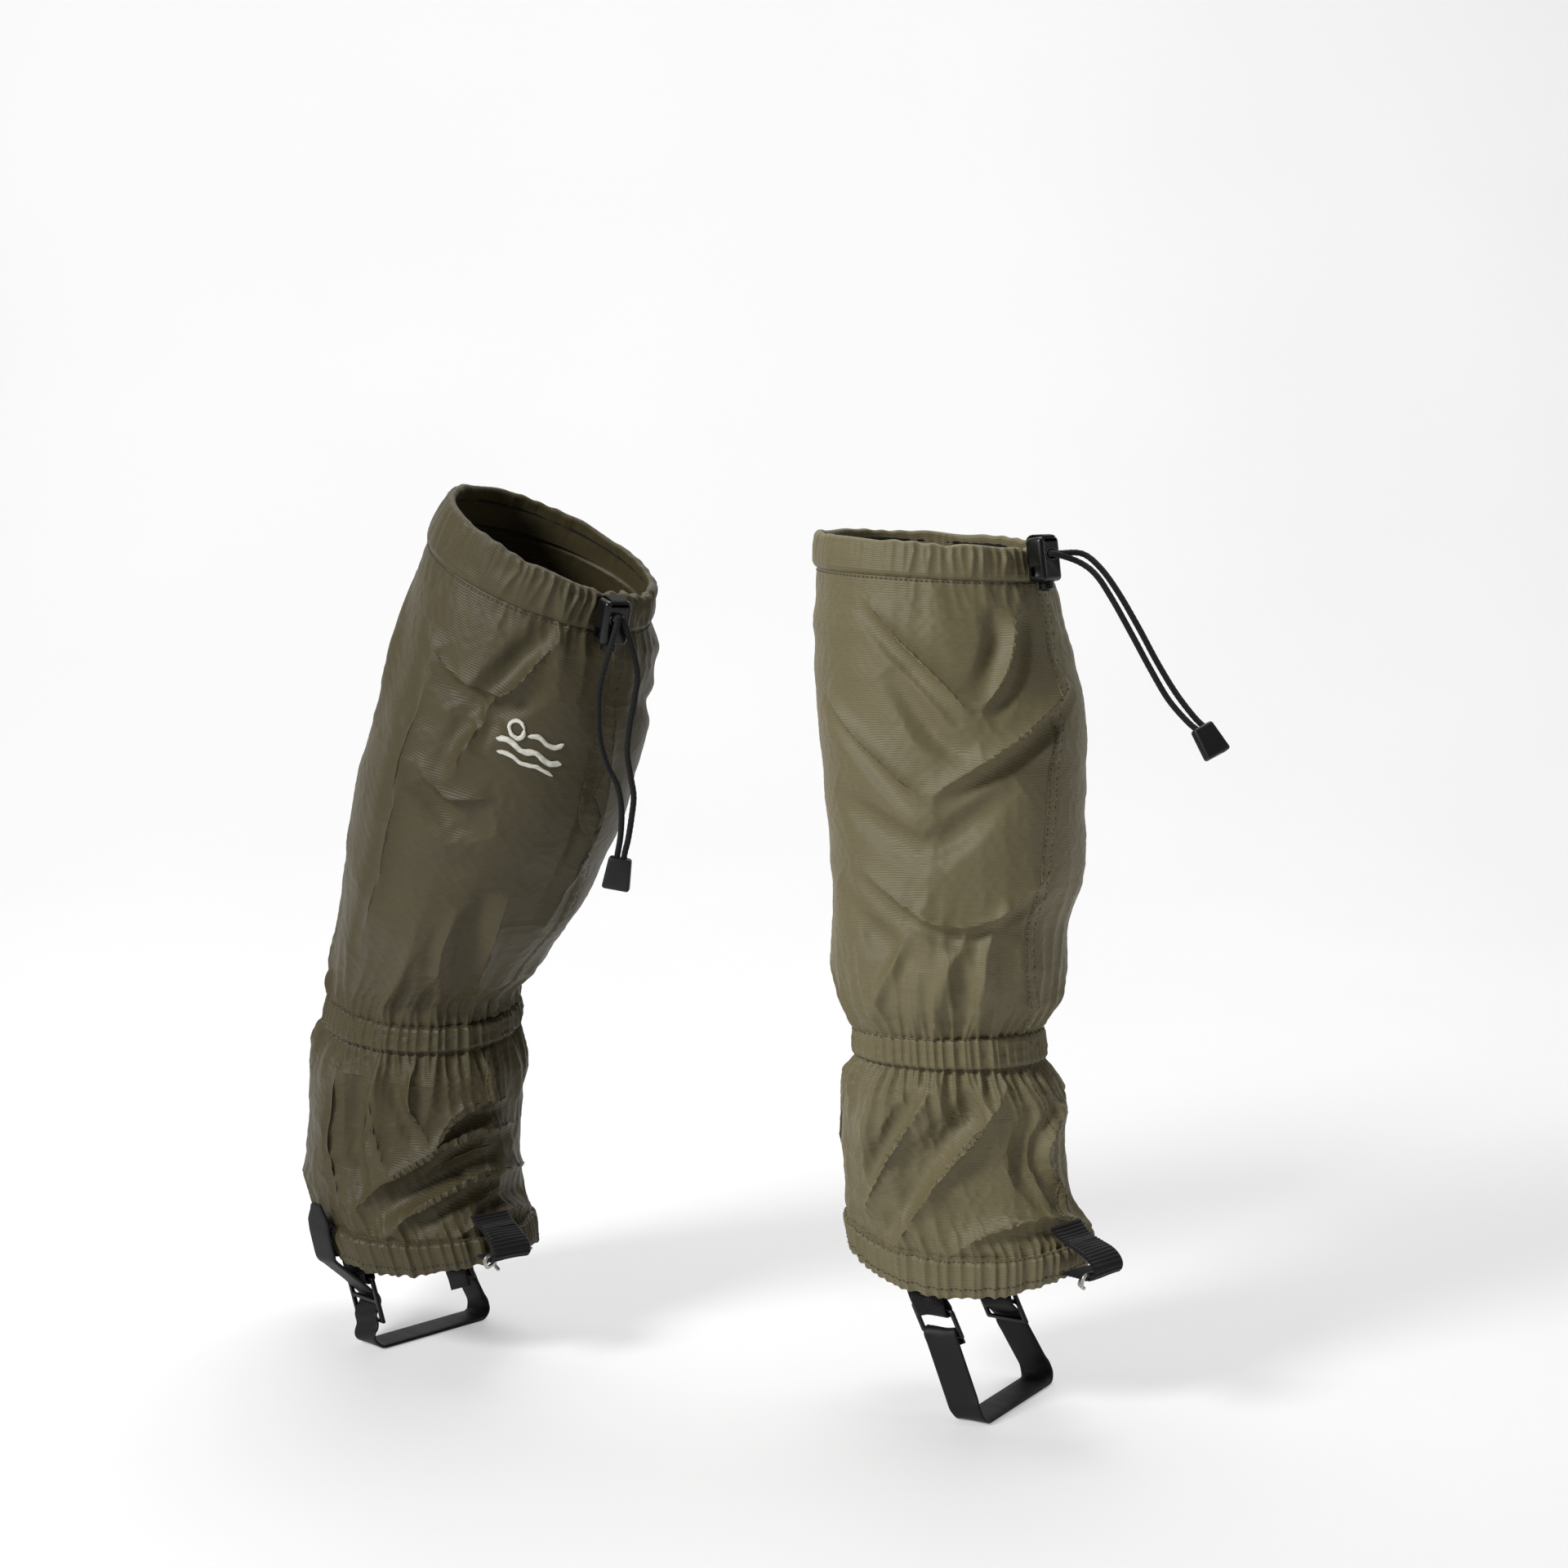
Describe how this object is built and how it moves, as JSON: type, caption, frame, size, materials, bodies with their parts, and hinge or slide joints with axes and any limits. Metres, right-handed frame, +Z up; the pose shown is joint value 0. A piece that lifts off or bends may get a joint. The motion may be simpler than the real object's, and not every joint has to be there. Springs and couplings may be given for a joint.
{
  "type": "pair of gaiters",
  "caption": "Fabric gaiters in worn shape: leg tube with drawcord and cord lock, elastic ankle, gathered boot cover, lace hook tab and adjustable stirrup strap.",
  "frame": {"origin": "on the ground under the middle of the pair, level with the undersides of the two stirrup straps", "axes": "+Z up along the standing legs; +X from the right gaiter to the left one; the toes point to +X and -Y"},
  "size_m": [0.5403, 0.2716, 0.5245],
  "materials": {
    "nylon_left": "fine plain weave nylon with a slight sheen",
    "nylon_right": "fine plain weave nylon with a slight sheen",
    "elastic_cord": "braided matt",
    "elastic_band": "knitted matt",
    "moulded_plastic": "satin",
    "spring_steel": "bright",
    "hook_wire": "blackened, semi-gloss",
    "webbing": "ribbed woven",
    "coated_strap": "smooth coated",
    "embroidery": "satin-stitch thread"
  },
  "bodies": {
    "right_boot_cover": {"right_boot_panel": "nylon_right", "right_hem_casing": "nylon_right", "right_hem_elastic": "elastic_band", "right_ankle_casing": "nylon_right", "right_ankle_elastic": "elastic_band", "right_front_seam_lower": "nylon_right"},
    "right_leg": {"right_leg_panel": "nylon_right", "right_top_casing": "nylon_right", "right_drawcord_loop": "elastic_cord", "right_front_seam_upper": "nylon_right", "right_lock_body": "moulded_plastic", "right_lock_spring": "spring_steel", "right_lock_tab": "webbing", "right_drawcord_strand_a": "elastic_cord", "right_drawcord_strand_b": "elastic_cord", "right_cord_end_shell": "moulded_plastic", "right_cord_end_insert": "moulded_plastic", "right_emblem": "embroidery"},
    "right_cord_lock_button": {"right_lock_button": "moulded_plastic"},
    "right_stirrup": {"right_inner_strap_tab": "webbing", "right_outer_strap_tab": "webbing", "right_inner_strap_ring": "moulded_plastic", "right_strap_buckle": "moulded_plastic", "right_stirrup_strap": "coated_strap"},
    "right_front_tab": {"right_hook_webbing": "webbing"},
    "right_hook": {"right_lace_hook": "hook_wire"},
    "left_boot_cover": {"left_boot_panel": "nylon_left", "left_hem_casing": "nylon_left", "left_hem_elastic": "elastic_band", "left_ankle_casing": "nylon_left", "left_ankle_elastic": "elastic_band", "left_front_seam_lower": "nylon_left"},
    "left_leg": {"left_leg_panel": "nylon_left", "left_top_casing": "nylon_left", "left_drawcord_loop": "elastic_cord", "left_front_seam_upper": "nylon_left", "left_lock_body": "moulded_plastic", "left_lock_spring": "spring_steel", "left_lock_tab": "webbing", "left_drawcord_strand_a": "elastic_cord", "left_drawcord_strand_b": "elastic_cord", "left_cord_end_shell": "moulded_plastic", "left_cord_end_insert": "moulded_plastic"},
    "left_cord_lock_button": {"left_lock_button": "moulded_plastic"},
    "left_stirrup": {"left_inner_strap_tab": "webbing", "left_outer_strap_tab": "webbing", "left_inner_strap_ring": "moulded_plastic", "left_strap_buckle": "moulded_plastic", "left_stirrup_strap": "coated_strap"},
    "left_front_tab": {"left_hook_webbing": "webbing"},
    "left_hook": {"left_lace_hook": "hook_wire"}
  },
  "joints": [
    {"name": "right_ankle_flex", "type": "hinge", "parent": "right_boot_cover", "child": "right_leg", "pos_m": [-0.16324, 0.05548, 0.2033], "axis": [0.7193, 0.6947, 0], "range_deg": [-12, 15], "deforming": ["right_ankle_casing", "right_ankle_elastic"]},
    {"name": "right_lock_press", "type": "slide", "parent": "right_leg", "child": "right_cord_lock_button", "axis": [0.1649, -0.1038, 0.9808], "range_m": [0, 0.004], "stiffness_N_per_m": 300, "springref_m": -0.002, "deforming": ["right_lock_spring"]},
    {"name": "right_stirrup_swing", "type": "hinge", "parent": "right_boot_cover", "child": "right_stirrup", "pos_m": [-0.18033, 0.07314, 0.054], "axis": [-0.7193, -0.6947, 0], "range_deg": [0, 13]},
    {"name": "right_front_tab_lift", "type": "hinge", "parent": "right_boot_cover", "child": "right_front_tab", "pos_m": [-0.12085, -0.00423, 0.09243], "axis": [-0.829, -0.5592, 0], "range_deg": [0, 60]},
    {"name": "right_lace_hook_swing", "type": "hinge", "parent": "right_front_tab", "child": "right_hook", "pos_m": [-0.10821, -0.02297, 0.07513], "axis": [-0.829, -0.5592, 0], "range_deg": [0, 55]},
    {"name": "left_ankle_flex", "type": "hinge", "parent": "left_boot_cover", "child": "left_leg", "pos_m": [0.14671, -0.04937, 0.2098], "axis": [0.5, 0.866, 0], "range_deg": [-12, 15], "deforming": ["left_ankle_casing", "left_ankle_elastic"]},
    {"name": "left_lock_press", "type": "slide", "parent": "left_leg", "child": "left_cord_lock_button", "axis": [-0.1023, 0.1831, 0.9778], "range_m": [0, 0.004], "stiffness_N_per_m": 300, "springref_m": -0.002, "deforming": ["left_lock_spring"]},
    {"name": "left_stirrup_swing", "type": "hinge", "parent": "left_boot_cover", "child": "left_stirrup", "pos_m": [0.14929, -0.05082, 0.075], "axis": [-0.5, -0.866, 0], "range_deg": [0, 30]},
    {"name": "left_front_tab_lift", "type": "hinge", "parent": "left_boot_cover", "child": "left_front_tab", "pos_m": [0.21274, -0.10505, 0.11428], "axis": [-0.7314, -0.682, 0], "range_deg": [0, 60]},
    {"name": "left_lace_hook_swing", "type": "hinge", "parent": "left_front_tab", "child": "left_hook", "pos_m": [0.23088, -0.12451, 0.09698], "axis": [-0.7314, -0.682, 0], "range_deg": [0, 55]},
    {"name": "left_set_apart", "type": "slide", "parent": "right_boot_cover", "child": "left_boot_cover", "axis": [0, 0, 1], "range_m": [0, 0.6]}
  ]
}
